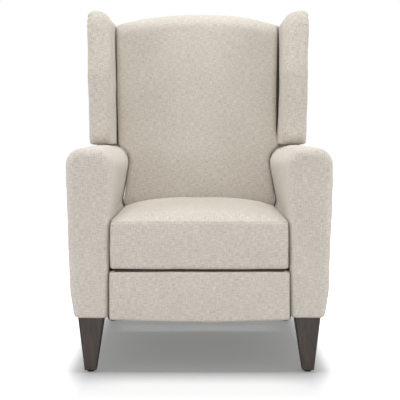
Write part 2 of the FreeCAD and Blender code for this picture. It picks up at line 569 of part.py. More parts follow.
half_stations = [0.0, 0.25, 0.45, 0.65, 0.8, 0.9, 0.94, 0.965, 0.985, 1.0]
stations = [-s for s in reversed(half_stations[1:])] + half_stations
low_cushion = soft_across([(s * BACK_LOW_HALF, low_section(s * BACK_LOW_HALF)) for s in stations])
for x0, x1 in ((BACK_LOW_HALF - 4.0, BACK_LOW_HALF + 9.0), (-BACK_LOW_HALF - 9.0, -BACK_LOW_HALF + 4.0)):
    low_cushion = low_cushion.cut(
        box(x0, x1, BACK_Y0 - 30.0, BACK_Y0 + 190.0, LOW_Z0 - 15.0, BACK_Z0 - 10.0))
top_cushion = soft_across([(s * BACK_TOP_HALF, top_section(s * BACK_TOP_HALF)) for s in stations])
low_cushion = low_cushion.cut(back_slab(
    -POST_OUT, POST_OUT, LOW_Z0 - 15.0, LOW_Z1 + 20.0, CUSHION_DEPTH, OUTSIDE_DEPTH))
back_cushion = low_cushion.fuse(top_cushion)
rail_room = back_slab(POST_OUT, WING_INNER_X, WING_RAIL_Z, WING_RAIL_Z + RAIL, POST_DEPTH, POST_THICK)
back_cushion = back_cushion.cut(rail_room).cut(mirrored(rail_room))
save("back_cushion", back_cushion)

WING_CORNERS = [
    (BACK_Y0 - 125.0, WING_BOTTOM_Z, 30.0), (0.0, WING_BOTTOM_Z + 16.0, 24.0), (0.0, WING_TOP_Z, 52.0),
    (BACK_Y0 + 8.0, WING_TOP_Z, 92.0), (BACK_Y0 - 78.0, WING_TOP_Z - 229.0, 240.0)]
WING_MID_Y = BACK_Y0 + 80.0
WING_MID_Z = (WING_BOTTOM_Z + WING_TOP_Z) / 2


def wing_points(inset, drop):
    points = []
    for i, (y, z, radius) in enumerate(WING_CORNERS):
        if i in (1, 2):
            y = back_y(z, OUTSIDE_DEPTH + OUTSIDE_THICK)
        if i in (2, 3):
            z = z - drop
        scale_y = 1.0 - inset / 190.0
        scale_z = 1.0 - inset / (WING_TOP_Z - WING_MID_Z)
        points.append((WING_MID_Y + (y - WING_MID_Y) * scale_y,
                       WING_MID_Z + (z - WING_MID_Z) * scale_z, radius * scale_y, 0.0))
    return points


outer = OVERALL_WIDTH / 2
wing_stations = [
    (WING_INNER_X, 34.0, 46.0), (WING_INNER_X + 3.0, 20.0, 46.0), (WING_INNER_X + 10.0, 8.0, 42.0),
    (WING_INNER_X + 24.0, 1.0, 30.0), (outer - 48.0, 0.0, 13.0), (outer - 22.0, 0.0, 2.0),
    (outer - 9.0, 4.0, 0.0), (outer - 2.5, 12.0, 1.0), (outer, 24.0, 3.0)]
wing = Part.makeLoft([
    rounded_wire(wing_points(inset, drop), lambda p, x=x: V(x, p.x, p.y))
    for x, inset, drop in wing_stations], True, True)
WING_PLY_X = WING_INNER_X + 35.0
ply = rounded_wire(wing_points(44.0, 30.0), lambda p: V(WING_PLY_X, p.x, p.y))
wing_frame = Part.Face(ply).extrude(V(BOARD, 0, 0))
arms = [back_slab(POST_OUT, WING_PLY_X, z0, z1, POST_DEPTH, POST_THICK)
        for z0, z1 in ((WING_RAIL_Z, WING_RAIL_Z + RAIL), (POST_Z1 - 50.0, POST_Z1 - 10.0))]
wing_frame = wing_frame.multiFuse(arms).removeSplitter()
wing = wing.cut(wing_frame)
save_pair("wing_frame", wing_frame)
save_pair("wing", wing)

OUTER_Z0 = ARM_TOP_Z + 23.0
OUTER_Z1 = WING_TOP_Z - 35.0
low_panel = back_slab(-POST_OUT, POST_OUT, POST_Z0, OUTER_Z0 + 5.0, OUTSIDE_DEPTH, OUTSIDE_THICK)
top_profile = rounded_wire([
    (back_y(OUTER_Z0, OUTSIDE_DEPTH), OUTER_Z0, 0.0, 0.0),
    (back_y(OUTER_Z0, OUTSIDE_DEPTH + OUTSIDE_THICK), OUTER_Z0, 0.0, 0.0),
    (back_y(OUTER_Z1, OUTSIDE_DEPTH + OUTSIDE_THICK), OUTER_Z1, 25.0, 0.0),
    (back_y(OUTER_Z1, OUTSIDE_DEPTH), OUTER_Z1, 0.0, 0.0)], lambda p: V(-WING_INNER_X + 1.5, p.x, p.y))
top_panel = Part.Face(top_profile).extrude(V(2 * WING_INNER_X - 3.0, 0, 0))
outside_back = low_panel.fuse(top_panel).removeSplitter()
save("outside_back", outside_back)
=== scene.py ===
import math

import bmesh
import bpy
import numpy as np
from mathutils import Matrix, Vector, noise
from mathutils.bvhtree import BVHTree


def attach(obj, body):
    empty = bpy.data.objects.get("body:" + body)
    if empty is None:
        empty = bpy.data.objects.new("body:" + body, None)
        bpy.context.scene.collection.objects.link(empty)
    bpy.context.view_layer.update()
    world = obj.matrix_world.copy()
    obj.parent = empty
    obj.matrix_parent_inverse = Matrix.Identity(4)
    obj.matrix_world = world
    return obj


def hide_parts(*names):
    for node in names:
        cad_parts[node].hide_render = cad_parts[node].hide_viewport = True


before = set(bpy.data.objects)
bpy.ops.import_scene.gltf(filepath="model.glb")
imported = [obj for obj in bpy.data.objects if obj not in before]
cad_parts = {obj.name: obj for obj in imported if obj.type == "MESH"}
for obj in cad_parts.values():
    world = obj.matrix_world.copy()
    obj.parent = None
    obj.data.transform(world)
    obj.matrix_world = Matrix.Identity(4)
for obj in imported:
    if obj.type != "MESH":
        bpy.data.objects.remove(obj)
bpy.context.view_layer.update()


# Arm frames and rails: sawn softwood and raw plywood, glued and screwed into two open boxes.
# They carry the base plates and legs, and stay bare inside the cover and under the seat.
class Tone:
    """One socket of a finish; arithmetic on it adds Math nodes."""

    def __init__(self, finish, socket):
        self.finish = finish
        self.socket = socket

    def math(self, operation, *others):
        return self.finish.add("ShaderNodeMath", {"operation": operation}, self, *others)

    def __add__(self, other):
        return self.math("ADD", other)

    def __sub__(self, other):
        return self.math("SUBTRACT", other)

    def __rsub__(self, other):
        return self.finish.add("ShaderNodeMath", {"operation": "SUBTRACT"}, other, self)

    def __mul__(self, other):
        return self.math("MULTIPLY", other)

    def __gt__(self, other):
        return self.math("GREATER_THAN", other)

    def __lt__(self, other):
        return self.math("LESS_THAN", other)

    __radd__ = __add__
    __rmul__ = __mul__


class Finish:
    """A material in the making, built round one Principled shader."""

    def __init__(self, name, **fixed):
        self.material = bpy.data.materials.new(name)
        self.material.use_nodes = True
        self.tree = self.material.node_tree
        self.shader = self.tree.nodes["Principled BSDF"]
        for socket, value in fixed.items():
            self.shader.inputs[socket.replace("_", " ")].default_value = value
        self.place = self.add("ShaderNodeTexCoord", {}, pick="Object")

    def plug(self, socket, value):
        if isinstance(value, Tone):
            self.tree.links.new(value.socket, socket)
        else:
            socket.default_value = value

    def add(self, kind, settings, *values, pick=0, **named):
        node = self.tree.nodes.new(kind)
        for key, value in settings.items():
            if key == "stops":
                ramp = node.color_ramp
                for index, (position, colour) in enumerate(value):
                    stop = ramp.elements[index] if index < 2 else ramp.elements.new(position)
                    stop.position = position
                    stop.color = colour
            else:
                setattr(node, key, value)
        for index, value in enumerate(values):
            self.plug(node.inputs[index], value)
        for key, value in named.items():
            self.plug(node.inputs[key.replace("_", " ")], value)
        return Tone(self, node.outputs[pick])

    def split(self, tone):
        """The x, y and z of a place or a direction."""
        parted = self.add("ShaderNodeSeparateXYZ", {}, tone).socket.node
        return [Tone(self, output) for output in parted.outputs]

    def speckle(self, stretch, detail=2.0, warp=0.0):
        """Noise on the piece's own coordinates, stretched by one scale for each axis, per metre."""
        where = self.add("ShaderNodeVectorMath", {"operation": "MULTIPLY"}, self.place, stretch)
        return self.add("ShaderNodeTexNoise", {}, Vector=where, Scale=1.0, Detail=detail, Distortion=warp)

    def streaks(self, along, over):
        """Threads that run with one direction of the cloth and differ over the other."""
        where = self.add("ShaderNodeCombineXYZ", {}, along, over)
        return self.add("ShaderNodeTexNoise", {"noise_dimensions": "2D"}, Vector=where, Scale=1.0, Detail=1.0)

    def coloured(self, tone, stops):
        """Runs a tone through a ramp of sRGB colours into the base colour."""
        ramp = self.add("ShaderNodeValToRGB", {"stops": [(at, linear(rgb)) for at, rgb in stops]}, tone)
        self.plug(self.shader.inputs["Base Color"], ramp)

    def relief(self, height, distance, strength=1.0):
        bump = self.add("ShaderNodeBump", {}, Height=height, Distance=distance, Strength=strength)
        self.plug(self.shader.inputs["Normal"], bump)

    def rough(self, tone):
        self.plug(self.shader.inputs["Roughness"], tone)


def linear(rgb):
    """An sRGB colour of 0 to 255 as the linear colour that a socket takes."""
    parts = [c / 255.0 for c in rgb]
    return [c / 12.92 if c <= 0.04045 else ((c + 0.055) / 1.055) ** 2.4 for c in parts] + [1.0]


def dress(material, *names):
    """Gives CAD nodes their finish."""
    for name in names:
        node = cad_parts[name]
        if not node.material_slots:
            node.data.materials.append(material)
        for place in node.material_slots:
            place.material = material


softwood = Finish("sawn_softwood", Roughness=0.78)
along = softwood.speckle((9.0, 160.0, 160.0), 5.0, 0.6)
softwood.coloured(along, [(0.3, (166, 128, 84)), (0.5, (196, 160, 112)), (0.72, (212, 180, 134))])
softwood.relief(along, 0.0006)
plywood = Finish("raw_plywood", Roughness=0.8)
sheet_tone = plywood.speckle((70.0, 26.0, 7.0), 5.0, 1.1)
plies = (plywood.split(plywood.place)[0] * 2100.0).math("SINE")
plywood.coloured(sheet_tone * 0.8 + plies * 0.06 + 0.08,
                 [(0.3, (160, 122, 78)), (0.52, (198, 162, 112)), (0.75, (214, 184, 140))])
plywood.relief(sheet_tone, 0.0005)
dress(plywood.material, "arm_frame_l", "arm_frame_r", "wing_frame_l", "wing_frame_r", "footrest_board")
dress(softwood.material, "rear_rail", "seat_side_rail_l", "seat_side_rail_r", "seat_front_rail",
      "seat_rear_rail", "back_post_l", "back_post_r", "back_bottom_rail", "back_top_rail")


# Steel plates, tubes and links: cold rolled steel, punched and coated in black powder, with a
# fine orange-peel and paler rubbed patches here and there.
powder = Finish("black_powder_coat", Metallic=0.0, Roughness=0.42)
peel = powder.speckle((900.0, 900.0, 900.0), 1.0)
rub = powder.speckle((38.0, 38.0, 38.0), 6.0)
powder.coloured(rub, [(0.35, (24, 24, 25)), (0.62, (33, 33, 34)), (0.8, (70, 69, 66))])
powder.rough(rub * 0.25 + 0.3)
powder.relief(peel, 0.00008)
dress(powder.material, "base_plate_l", "base_plate_r", "front_tube", "seat_cross_tube", "seat_plate_l",
      "seat_plate_r", "back_bracket_l", "back_bracket_r", "lift_link_l", "lift_link_r", "control_link_l",
      "control_link_r", "extension_link_l", "extension_link_r", "panel_link_l", "panel_link_r",
      "footrest_bracket_l", "footrest_bracket_r")

# Bolts, rivets and screws: zinc plated steel, a little dulled, with fine turning marks and a
# blotchy passivation.
zinc = Finish("zinc_plate", Metallic=1.0, Roughness=0.35)
blotch = zinc.speckle((120.0, 120.0, 120.0), 4.0)
zinc.coloured(blotch, [(0.3, (150, 150, 146)), (0.6, (188, 188, 184)), (0.85, (206, 204, 192))])
zinc.rough(blotch * 0.3 + 0.22)
zinc.relief(zinc.speckle((2600.0, 300.0, 300.0), 1.0), 0.00005)
dress(zinc.material, "base_plate_bolts", "leg_bolts", "seat_plate_screws", "seat_rivets", "lift_rivets",
      "control_rivets", "extension_rivets", "panel_rivets", "back_pivot_bolts", "back_bracket_screws",
      "footrest_screws")

# Zigzag springs: drawn carbon steel wire, blued and oiled, bent cold and clipped to the rails. Five rows
# run from front to back under the seat, and four run upwards between the back posts.
wire = Finish("blued_wire", Metallic=1.0, Roughness=0.38)
wire.coloured(wire.speckle((220.0, 220.0, 220.0), 3.0), [(0.35, (62, 64, 70)), (0.7, (98, 98, 100))])
dress(wire.material, "seat_springs", "back_springs")

# Shoes and floor glides: moulded nylon, black, with a faint mould grain and scuffed soles. The shoes slide
# in the slots of the base plates, and a round glide sits under each leg.
nylon = Finish("black_nylon", Roughness=0.55)
scuff = nylon.speckle((260.0, 260.0, 260.0), 5.0)
nylon.coloured(scuff, [(0.4, (26, 25, 24)), (0.7, (44, 42, 40))])
nylon.relief(scuff, 0.0001)
dress(nylon.material, "glide_shoes", "leg_glides")

# Seat deck: a stiff dark brown nonwoven cloth over the springs, which keeps the cushion off the wires.
# It lies on the seat springs and is stapled to the timber rails round them.
deck_cloth = Finish("deck_cloth", Roughness=0.95)
felt = deck_cloth.speckle((420.0, 420.0, 420.0), 4.0)
deck_cloth.coloured(felt, [(0.3, (44, 36, 29)), (0.7, (68, 57, 47))])
deck_cloth.relief(felt, 0.0004)
dress(deck_cloth.material, "seat_deck")

# Legs: solid beech, square and tapered on all four sides, stained espresso and lacquered satin.
# The grain runs down the leg.
leg_wood = Finish("espresso_beech", Roughness=0.42, Coat_Weight=0.15, Coat_Roughness=0.3)
pores = leg_wood.speckle((520.0, 520.0, 16.0), 3.0)
figure = leg_wood.speckle((95.0, 95.0, 13.0), 4.0, 1.2)
leg_wood.coloured(figure * 0.75 + pores * 0.25,
                  [(0.34, (38, 31, 27)), (0.5, (54, 44, 39)), (0.66, (68, 57, 50))])
leg_wood.rough(pores * 0.2 + 0.34)
leg_wood.relief(pores, 0.00018)
dress(leg_wood.material, "front_leg_l", "front_leg_r", "rear_leg_l", "rear_leg_r")


# Arms: foam and wadding over the arm frame, under one cover that turns from the front face over
# the rounded top and down both sides. The inner side leans in under the armrest, and the outer side
# tapers towards the leg. The cloth is a plain-woven oatmeal melange in linen colours.
def oatmeal(name, seam_heights=(), painted_shade=0.0):
    """The cover cloth; at seam_heights a thin band is painted darker as the shade of a sunk seam, and the
    last argument lowers the whole cloth's tone as painted shade.
    """
    cloth = Finish(name, Roughness=0.93, Sheen_Weight=0.22, Sheen_Roughness=0.5, Specular_IOR_Level=0.2)
    x, y, z = cloth.split(cloth.place)
    facing_x, _, facing_z = cloth.split(cloth.add("ShaderNodeTexCoord", {}, pick="Normal"))
    on_side = facing_x.math("ABSOLUTE") > 0.72
    on_top = facing_z.math("ABSOLUTE") > 0.72
    across = x * (1 - on_side) + y * on_side
    upwards = z * (1 - on_top) + y * on_top
    slub, count = 62.0, 420.0    # changes per metre along a thread and over the threads
    weft = cloth.streaks(across * slub, upwards * count)
    warp = cloth.streaks(across * count, upwards * slub)
    cloudy = cloth.speckle((9.0, 9.0, 9.0), 2.0)
    pitch = math.pi / 0.0017
    over = (across * pitch).math("SINE") * (upwards * pitch).math("SINE")
    # Lowering the tone by the last argument paints shade over the whole cloth and makes a shaded copy of it.
    shade = weft * 0.42 + warp * 0.38 + (0.1 - painted_shade) + (cloudy - 0.5) * 0.1 + over * 0.03
    # Painted shade: a thin band round each seam height is darkened, as the shadow in the seam's groove.
    for level in seam_heights:
        sunk = (z - level).math("ABSOLUTE") < 0.0011
        shade = shade - sunk * 0.16
    cloth.coloured(shade, [(0.26, (176, 168, 155)), (0.44, (199, 192, 181)), (0.56, (209, 202, 193)),
                           (0.74, (226, 220, 213))])
    cloth.relief(over * 0.3 + weft * 0.5 + warp * 0.5, 0.0009, 0.55)
    return cloth.material


def corner_path(corners, count):
    """Evenly spaced points round a closed path whose corners (a, b, radius) are rounded off."""
    dense = []
    for i, (a, b, radius) in enumerate(corners):
        here = np.array([a, b])
        into = here - np.array(corners[i - 1][:2])
        out = np.array(corners[(i + 1) % len(corners)][:2]) - here
        into = into / np.linalg.norm(into)
        out = out / np.linalg.norm(out)
        turn = math.acos(max(-1.0, min(1.0, float(into @ out))))
        if radius <= 0 or turn < 1e-4:
            dense.append(here)
            continue
        side = out - into
        side = side / np.linalg.norm(side)
        centre = here + side * radius / math.cos(turn / 2)
        start = here - into * radius * math.tan(turn / 2)
        arm = start - centre
        spin = math.copysign(1.0, into[0] * out[1] - into[1] * out[0])
        for k in range(17):
            angle = spin * turn * k / 16
            c, s = math.cos(angle), math.sin(angle)
            dense.append(centre + np.array([arm[0] * c - arm[1] * s, arm[0] * s + arm[1] * c]))
    dense = np.array(dense)
    closed = np.vstack([dense, dense[:1]])
    run = np.concatenate([[0.0], np.cumsum(np.linalg.norm(np.diff(closed, axis=0), axis=1))])
    marks = np.linspace(0.0, run[-1], count, endpoint=False)
    return np.stack([np.interp(marks, run, closed[:, 0]), np.interp(marks, run, closed[:, 1])], axis=1)


def skin(name, rings, bows=(0.0, 0.0), rounds=7):
    """A closed cover over rings of points; each end shrinks, bowing out, and closes in a strip of quads."""
    rings = [np.array(ring, dtype=float) for ring in rings]

    def close(end, before, bow):
        middle = end.mean(axis=0)
        outward = middle - before.mean(axis=0)
        outward = outward / np.linalg.norm(outward)
        made = []
        for k in range(1, rounds):
            share = k / rounds
            rise = bow * math.sin(share * math.pi / 2)
            made.append(middle + (end - middle) * (1 - share) + outward * rise)
        return made

    low = close(rings[0], rings[1], bows[0])
    high = close(rings[-1], rings[-2], bows[1])
    rings = low[::-1] + rings + high
    count = len(rings[0])
    verts = np.vstack(rings)
    faces = []
    for i in range(len(rings) - 1):
        for j in range(count):
            k = (j + 1) % count
            faces.append((i * count + j, i * count + k, (i + 1) * count + k, (i + 1) * count + j))
    last = (len(rings) - 1) * count
    for j in range(count // 2 - 1):
        strip = (j, j + 1, count - j - 2, count - j - 1)
        faces.append(strip)
        faces.append(tuple(last + corner for corner in reversed(strip)))
    mesh = bpy.data.meshes.new(name)
    mesh.from_pydata([tuple(v / 1000.0) for v in verts], [], faces)
    shell = bmesh.new()
    shell.from_mesh(mesh)
    bmesh.ops.recalc_face_normals(shell, faces=shell.faces)
    shell.to_mesh(mesh)
    shell.free()
    for face in mesh.polygons:
        face.use_smooth = True
    piece = bpy.data.objects.new(name, mesh)
    bpy.context.scene.collection.objects.link(piece)
    return piece


def reshape(piece, move):
    """Moves each point of a piece: move takes the point and its normal in millimetres."""
    mesh = piece.data
    normals = [v.normal.copy() for v in mesh.vertices]
    for vertex, normal in zip(mesh.vertices, normals):
        vertex.co = move(vertex.co * 1000.0, normal) / 1000.0
    mesh.update()


def settle(piece, depth, size, seed):
    """The soft unevenness of cloth over foam: waves of the given depth and size."""
    shift = Vector((seed * 17.3, seed * 5.1, seed * 11.7))

    def wave(p, n):
        broad = noise.noise(p / size + shift)
        fine = noise.noise(p / size * 2.7 - shift)
        return p + n * depth * broad + n * depth * 0.4 * fine

    reshape(piece, wave)


def finish_cover(piece, material, body, replaced):
    """Gives a cover its cloth and smoothing, a body to ride on and the CAD node that it stands for."""
    piece.data.materials.append(material)
    smooth = piece.modifiers.new("smooth", "SUBSURF")
    smooth.levels = 1
    smooth.render_levels = 1
    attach(piece, body)
    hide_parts(replaced)


FRONT = -434.0
ARM_REAR = 218.0
arm_cloth = oatmeal("arm_cloth")


def quarter(steps):
    """Stations of a quarter turn: (left, gone), a share that runs out to 0 and one that grows to 1."""
    turns = [math.pi / 2 * k / steps for k in range(steps + 1)]
    return [(1 - math.sin(turn), 1 - math.cos(turn)) for turn in turns]


def rim(start, radius, direction, steps):
    """Stations of a rounded rim: (place, inset) from the outermost station inwards."""
    return [(start + direction * radius * gone, radius * left) for left, gone in quarter(steps)]


def ease(value, low, high):
    """0 up to low, 1 from high on, and a smooth rise between them."""
    share = max(0.0, min(1.0, (value - low) / (high - low)))
    return share * share * (3 - 2 * share)


def arm_ring(side, y, inset):
    """The arm's outline at depth y, from the lower inner corner up; it leans in more towards the rear."""
    rear = ease(y, -420.0, 0.0)
    corners = [(258.8, 150.5, 6.0), (255.6, 406.0, 12.0), (256.5 + 11.0 * rear, 434.0, 20.0),
               (242.5 - 9.0 * rear, 631.0, 46.0 + 16.0 * rear), (381.5, 631.0, 44.0),
               (381.0, 545.0, 200.0), (369.6, 228.0, 120.0), (356.5, 150.5, 12.0)]
    path = corner_path(corners, 148)
    middle_x, middle_z, half_width, half_height = 316.0, 395.0, 66.0, 240.0
    shrink_z = np.where(path[:, 1] > middle_z, inset / half_height, inset * 0.25 / half_height)
    path[:, 0] = middle_x + (path[:, 0] - middle_x) * (1 - inset / half_width)
    path[:, 1] = middle_z + (path[:, 1] - middle_z) * (1 - shrink_z)
    dome = 2.2 * np.clip((path[:, 1] - 600.0) / 30.0, 0, 1) * np.cos((path[:, 0] - 312.0) / 70.0 * 1.5)
    fall = 4.5 * ease(y, -60.0, 160.0) * np.clip((path[:, 1] - 560.0) / 70.0, 0, 1)
    return np.stack([side * path[:, 0], np.full(len(path), y), path[:, 1] + dome - fall], axis=1)


for side, letter in ((1, "r"), (-1, "l")):
    stations = rim(FRONT, 27.0, 1, 7)
    stations += [(y, 0.0) for y in np.linspace(FRONT + 45.0, ARM_REAR - 55.0, 23)]
    stations += rim(ARM_REAR, 36.0, -1, 7)[::-1]
    arm = skin("arm_cover_" + letter, [arm_ring(side, y, inset) for y, inset in stations], (1.5, 3.0))
    settle(arm, 1.5, 120.0, 3 + side)
    finish_cover(arm, arm_cloth, "chair_frame", "arm_upholstery_" + letter)


# Seat cushion: a boxed foam block with a crowned top panel, sewn to its front border along one plain
# seam, with rounded front corners. It lies loose on the deck between the arms.
def fill_cover(piece, pressure, reach, hold):
    """Plumps a cover with the cloth solver; a point moves at most reach, times hold(point)."""
    solver = piece.modifiers.new("fill", "CLOTH")
    solver.settings.quality = 4
    solver.settings.mass = 0.4
    solver.settings.tension_stiffness = 18.0
    solver.settings.compression_stiffness = 18.0
    solver.settings.shear_stiffness = 6.0
    solver.settings.bending_stiffness = 0.6
    solver.settings.use_pressure = True
    solver.settings.uniform_pressure_force = pressure
    solver.settings.effector_weights.gravity = 0.0
    solver.collision_settings.use_collision = False
    scene = bpy.context.scene
    for frame_number in range(1, 21):
        scene.frame_set(frame_number)
    puffed = piece.evaluated_get(bpy.context.evaluated_depsgraph_get())
    places = [v.co.copy() for v in puffed.to_mesh().vertices]
    puffed.to_mesh_clear()
    piece.modifiers.remove(solver)
    scene.frame_set(1)
    limit = reach / 1000.0
    for vertex, place in zip(piece.data.vertices, places):
        shift = place - vertex.co
        if shift.length > limit:
            shift = shift * (limit / shift.length)
        vertex.co = vertex.co + shift * hold(vertex.co * 1000.0)
    piece.data.update()


SEAT_HALF = 254.0
SEAT_CORNER = 13.0
SEAT_LOW = 288.6
SEAT_BACK = 94.0
SEAM_Z = 424.0


def seat_ring(x):
    """The cushion's side outline at x: border, seam and crowned top, drawn in at both ends."""
    across = abs(x) / SEAT_HALF
    edge = max(0.0, abs(x) - (SEAT_HALF - SEAT_CORNER)) / SEAT_CORNER
    inset = SEAT_CORNER * (1 - math.sqrt(max(0.0, 1 - edge * edge)))
    crown = 27.0 * (1 - across ** 2.4)
    front = FRONT + 5.0 + inset
    path = corner_path([
        (front, SEAT_LOW + inset * 0.35, 9.0), (SEAT_BACK - inset, SEAT_LOW + inset * 0.35, 14.0),
        (SEAT_BACK - inset, SEAM_Z + 2.0 + crown * 0.9 - inset * 0.5, 34.0),
        (-150.0, SEAM_Z + 3.0 + crown - inset * 0.5, 400.0),
        (front + 36.0, SEAM_Z + 5.0 + crown * 0.66 - inset * 0.5, 46.0),
        (front, SEAM_Z - inset * 0.5, 8.0)], 148)
    bow = 3.5 * np.sin(np.clip((path[:, 1] - 289.0) / 135.0, 0, 1) * math.pi)
    forward = np.clip((-300.0 - path[:, 0]) / 60.0, 0, 1)
    return np.stack([np.full(len(path), x), path[:, 0] - bow * forward, path[:, 1]], axis=1)


def mirrored_places(half, corner, inner, count):
    """Places of rings from one end to the other: even in the middle, and closer round the end corners."""
    right = list(np.linspace(0.0, half - inner, count)) + [half - corner * left for left, _ in quarter(6)]
    return [-x for x in right[:0:-1]] + right


seat_x = mirrored_places(SEAT_HALF, SEAT_CORNER, 18.0, 19)
seat = skin("seat_cushion_cover", [seat_ring(x) for x in seat_x])


def seat_hold(p):
    """Where the seat may plump: its top, less near the seams and the front border."""
    inner = 1 - ease(abs(p.x), SEAT_HALF - 40.0, SEAT_HALF - 2.0)
    above = ease(p.z, 292.0, 320.0)
    front = ease(-p.y, 300.0, 430.0)
    return above * inner * (0.75 - 0.45 * front)


fill_cover(seat, 3.0, 9.0, seat_hold)
settle(seat, 1.3, 90.0, 9)
seat_cloth = oatmeal("seat_cloth", (SEAM_Z / 1000.0,))
finish_cover(seat, seat_cloth, "seat", "seat_cushion")


# Footrest panel: a thin foam pad on a plywood board, covered in the same cloth and stapled behind.
# It closes the space under the seat and swings out on the links.
PAD_HALF = 255.3
PAD_CORNER = 10.0
PAD_BACK = -388.2


def pad_ring(x):
    """The panel's side outline at x; its lower edge rises a little towards the ends."""
    edge = max(0.0, abs(x) - (PAD_HALF - PAD_CORNER)) / PAD_CORNER
    inset = 7.0 * (1 - math.sqrt(max(0.0, 1 - edge * edge)))
    front = FRONT + 3.5 + inset
    corner = 5.0 * ease(abs(x), PAD_HALF - 8.0, PAD_HALF)
    low = 139.8 + 6.4 * (abs(x) / PAD_HALF) ** 2 + corner * 0.2
    high = 283.0 - corner * 0.4
    path = corner_path([(front, low, 8.0), (PAD_BACK, low, 4.0), (PAD_BACK, high, 4.0), (front, high, 7.0)],
                       110)
    height = np.clip((path[:, 1] - low) / (high - low), 0, 1)
    bow = 4.0 * np.sin(height * math.pi) * (1 - (abs(x) / PAD_HALF) ** 6)
    forward = np.clip((-405.0 - path[:, 0]) / 20.0, 0, 1)
    place = x + 1.2 * ease(x, 150.0, 250.0)
    return np.stack([np.full(len(path), place), path[:, 0] - bow * forward, path[:, 1]], axis=1)


pad = skin("footrest_cover", [pad_ring(x) for x in mirrored_places(PAD_HALF, PAD_CORNER, 15.0, 17)])
settle(pad, 1.0, 110.0, 14)
pad_cloth = oatmeal("footrest_cloth")
finish_cover(pad, pad_cloth, "footrest", "footrest_pad")


# Back cushion: foam over springs, pulled tight between the arms below and widened into shoulders
# above them, where it stands between the wings. Its top is crowned and rolls over to the rear.
SLOPE = 0.2267


def back_y(z, depth):
    """How far back the leaning back is at height z, with a depth counted from its front plane."""
    return 110.0 + (z - 440.0) * SLOPE + depth


def back_front(z):
    """The front of the cushion, which turns upright below the seat's top."""
    return back_y(z, 0.0) if z > 446.0 else 104.0 + 7.4 * (z - 345.0) / 101.0


def back_top(x):
    """The crowned top edge."""
    return 1101.5 - 40.0 * (abs(x) / 290.0) ** 2.2


BACK_DEPTH = 153.0
WAIST_HALF = 233.5
TOP_HALF = 285.6
RIGHT_PULL = 17.0    # the right wing and shoulder are drawn in a little more than the left ones


def flare(z):
    """How far the back and the wings spread outwards with height."""
    return 16.0 * max(0.0, z - 640.0) / 430.0


def spread(x, z):
    """A place across the back, moved outwards by its share of the flare."""
    return x * (1 + flare(z) / 284.0)


def back_ring(half, front, rear, level):
    """One level of the back: level gives the height over x, front and rear are insets."""
    path = corner_path([(-half, front, 15.0), (half, front, 15.0), (half, BACK_DEPTH - rear, 9.0),
                        (-half, BACK_DEPTH - rear, 9.0)], 168)
    ring = []
    for x, depth in path:
        z = level(x)
        width = 250.0 + 34.0 * ease(z, 480.0, 800.0)
        crown = 16.0 * (1 - min(1.0, abs(x) / width) ** 3) * max(0.0, 1 - depth / 30.0)
        crown *= ease(z, 395.0, 640.0) * (1 - 0.4 * ease(z, 720.0, 1040.0))
        lean = back_front(z) - back_y(z, 0.0)
        behind = ease(depth, 4.0, 32.0) * (1 - ease(z, 455.0, 530.0))
        x = math.copysign(abs(x) - max(0.0, abs(x) - 235.0) * behind, x)
        x -= RIGHT_PULL * ease(x, 150.0, 270.0) * ease(z, 615.0, 680.0) * (1 - ease(depth, 40.0, 110.0))
        y = back_y(z, depth) - crown + lean * max(0.0, 1 - depth / 100.0)
        ring.append((spread(x, z), y, z))
    return ring


def arm_side(z):
    """Half the width between the arms where the back stands, round their tops."""
    straight = 232.6 + 0.167 * (631.0 - z)
    return straight + 1.2 + np.interp(z, (568.0, 580.0, 590.0, 600.0, 608.0, 615.0, 620.0, 625.0),
                                      (0.0, 3.4, 7.5, 13.3, 21.0, 30.1, 37.0, 44.7))


ROLL = 50.0    # height of the rolled top edge
rings = [back_ring(WAIST_HALF - 11.5 * left, 12.0 * left, 6.0 * left, lambda x, z=345.5 + 12.0 * gone: z)
         for left, gone in quarter(5)]
widths = [(WAIST_HALF, z) for z in (375.0, 395.0, 408.0)]
widths += [(WAIST_HALF + (arm_side(z) - WAIST_HALF) * ease(z, 408.0, 432.0), z)
           for z in [414.0, 420.0, 426.0, 432.0, 440.0] + list(np.linspace(452.0, 566.0, 9))]
widths += [(arm_side(z), z) for z in (576.0, 585.0, 593.0, 600.0, 606.0, 612.0, 617.0, 621.0, 624.5)]
widths += [(TOP_HALF - 3.0, 628.5), (TOP_HALF - 1.0, 633.0), (TOP_HALF, 642.0)]
rings += [back_ring(half, 0.0, 0.0, lambda x, z=z: z) for half, z in widths]
for share in np.linspace(0.06, 1.0, 22):
    rings.append(back_ring(TOP_HALF, 0.0, 0.0,
                           lambda x, s=share: 648.2 + (back_top(x) - ROLL - 648.2) * s))
for left, gone in quarter(8)[1:]:
    rings.append(back_ring(TOP_HALF - 4.0 * gone, 50.0 * gone, 32.0 * gone,
                           lambda x, left=left: back_top(x) - ROLL * left))
end = np.array(rings[-1])
centre = end.mean(axis=0)
for share in (0.8, 0.6, 0.4, 0.2, 0.05):
    ring = []
    for x, y, z in end:
        x, y = centre[0] + (x - centre[0]) * share, centre[1] + (y - centre[1]) * share
        ring.append((x, y, back_top(x)))
    rings.append(ring)
back = skin("back_cushion_cover", rings, (1.0, 0.05), 3)


def back_hold(p):
    """Where the back may plump: its front, away from the arms, the wings and the top edge."""
    width = 1 - ease(abs(p.x), 190.0, 235.0 if p.z < 660.0 else 276.0)
    depth = p.y - back_y(p.z, 0.0)
    return width * ease(p.z, 460.0, 560.0) * ease(1060.0 - p.z, 0.0, 90.0) * (1 - ease(depth, 30.0, 90.0))


fill_cover(back, 2.4, 8.0, back_hold)
settle(back, 1.6, 130.0, 21)
back_cloth = oatmeal("back_cloth")
finish_cover(back, back_cloth, "back", "back_cushion")


# Wings: plywood cores bolted to the back posts, wrapped in wadding and covered. The front edge bellies
# forward at head height, and the cover is eased over the top corner in small tucks.
WING_IN = 290.0
WING_OUT = 367.0
# The wings get a shaded copy of the cloth: its tone is lowered as painted shade, so that the wings come out
# darker than the back and arms.
wing_cloth = oatmeal("wing_cloth", painted_shade=0.09)


